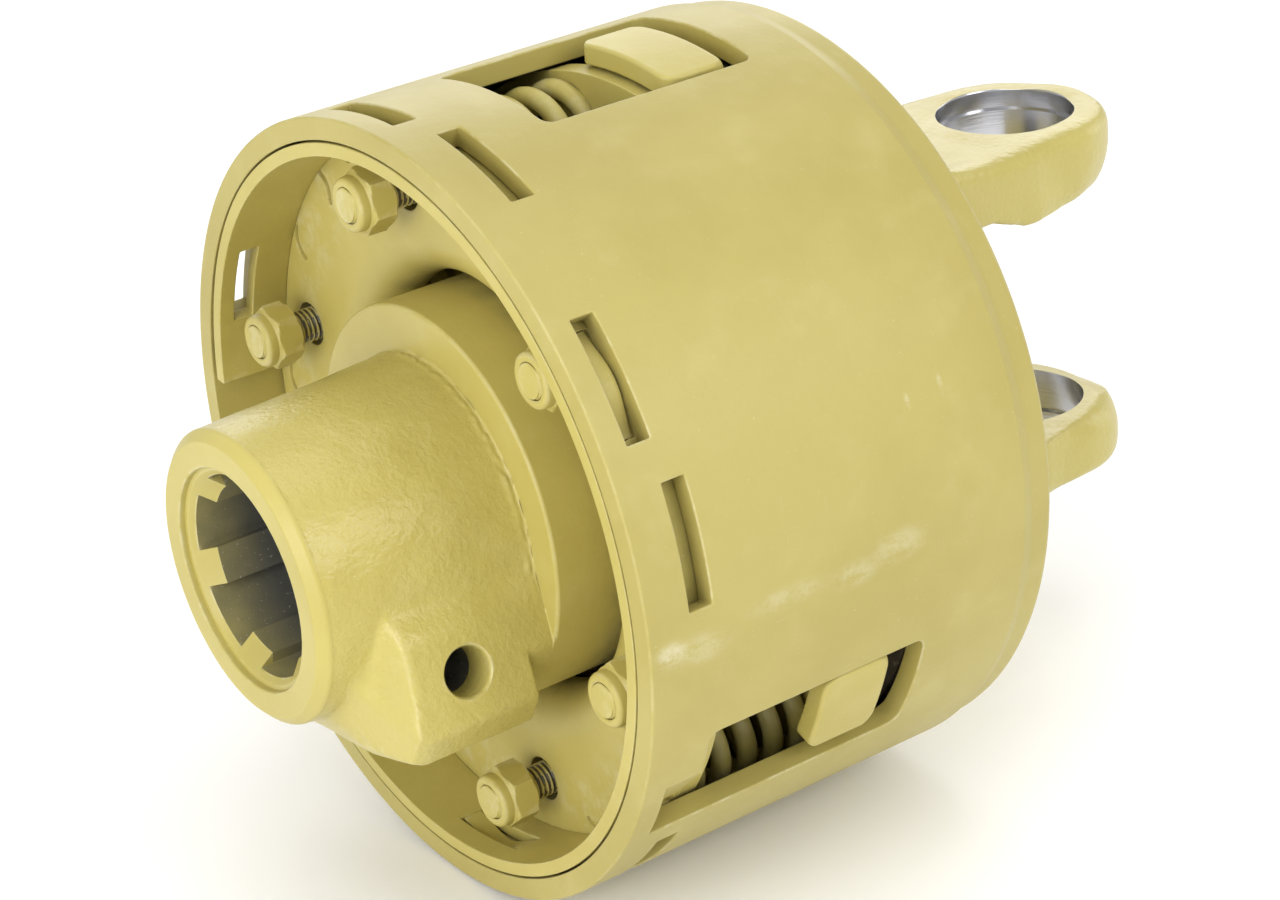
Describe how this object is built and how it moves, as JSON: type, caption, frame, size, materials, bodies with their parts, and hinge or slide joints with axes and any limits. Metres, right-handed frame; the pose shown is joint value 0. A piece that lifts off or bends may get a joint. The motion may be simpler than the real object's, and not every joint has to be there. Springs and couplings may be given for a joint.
{
  "type": "torque limiter",
  "caption": "Friction torque limiter: splined clamp hub in a drum housing with spring-loaded discs and a flange yoke.",
  "frame": {"origin": "centre of the yoke's cross bore, on the shaft axis", "axes": "+X along the shaft axis from the splined hub towards the yoke's tips, +Z along the cross bore"},
  "size_m": [0.2378, 0.175, 0.175],
  "materials": {
    "cast_paint": "satin paint over cast skin",
    "sheet_paint": "satin paint",
    "spring_paint": "satin paint, dark steel in shade",
    "nut_paint": "satin paint",
    "thread_steel": "dark oiled steel",
    "lining": "moulded friction lining",
    "plate_steel": "ground",
    "bush": "turned"
  },
  "bodies": {
    "hub": {"hub": "cast_paint", "driver_disc": "plate_steel", "centring_bush": "bush", "friction_disc_1": "lining", "friction_disc_2": "lining", "friction_disc_3": "lining", "friction_disc_4": "lining"},
    "housing": {"clutch_housing": "sheet_paint", "retaining_ring": "sheet_paint", "spring_plate": "sheet_paint", "intermediate_plate": "sheet_paint", "flange_yoke": "cast_paint", "spring_1": "spring_paint", "spring_2": "spring_paint", "spring_3": "spring_paint", "spring_4": "spring_paint", "spring_5": "spring_paint", "spring_6": "spring_paint", "spring_7": "spring_paint", "spring_8": "spring_paint", "spring_9": "spring_paint", "spring_10": "spring_paint", "spring_11": "spring_paint", "spring_12": "spring_paint"},
    "pressure": {"pressure_plate": "sheet_paint", "stud_1": "thread_steel", "stud_2": "thread_steel", "stud_3": "thread_steel", "stud_4": "thread_steel", "stud_5": "thread_steel", "stud_6": "thread_steel"},
    "nut_1": {"lock_nut_1": "nut_paint"},
    "nut_2": {"lock_nut_2": "nut_paint"},
    "nut_3": {"lock_nut_3": "nut_paint"},
    "nut_4": {"lock_nut_4": "nut_paint"},
    "nut_5": {"lock_nut_5": "nut_paint"},
    "nut_6": {"lock_nut_6": "nut_paint"}
  },
  "joints": [
    {"name": "slip", "type": "hinge", "parent": "hub", "child": "housing", "pos_m": [0, 0, 0], "axis": [1, 0, 0], "continuous": true},
    {"name": "release", "type": "slide", "parent": "housing", "child": "pressure", "axis": [-1, 0, 0], "range_m": [0, 0.002], "stiffness_N_per_m": 20000, "springref_m": -0.001, "deforming": ["spring_1", "spring_2", "spring_3", "spring_4", "spring_5", "spring_6", "spring_7", "spring_8", "spring_9", "spring_10", "spring_11", "spring_12"]},
    {"name": "nut_1_run", "type": "slide", "parent": "pressure", "child": "nut_1", "axis": [1, 0, 0], "range_m": [0, 0.0055]},
    {"name": "nut_2_run", "type": "slide", "parent": "pressure", "child": "nut_2", "axis": [1, 0, 0], "range_m": [0, 0.0055]},
    {"name": "nut_3_run", "type": "slide", "parent": "pressure", "child": "nut_3", "axis": [1, 0, 0], "range_m": [0, 0.0055]},
    {"name": "nut_4_run", "type": "slide", "parent": "pressure", "child": "nut_4", "axis": [1, 0, 0], "range_m": [0, 0.0055]},
    {"name": "nut_5_run", "type": "slide", "parent": "pressure", "child": "nut_5", "axis": [1, 0, 0], "range_m": [0, 0.0055]},
    {"name": "nut_6_run", "type": "slide", "parent": "pressure", "child": "nut_6", "axis": [1, 0, 0], "range_m": [0, 0.0055]}
  ]
}
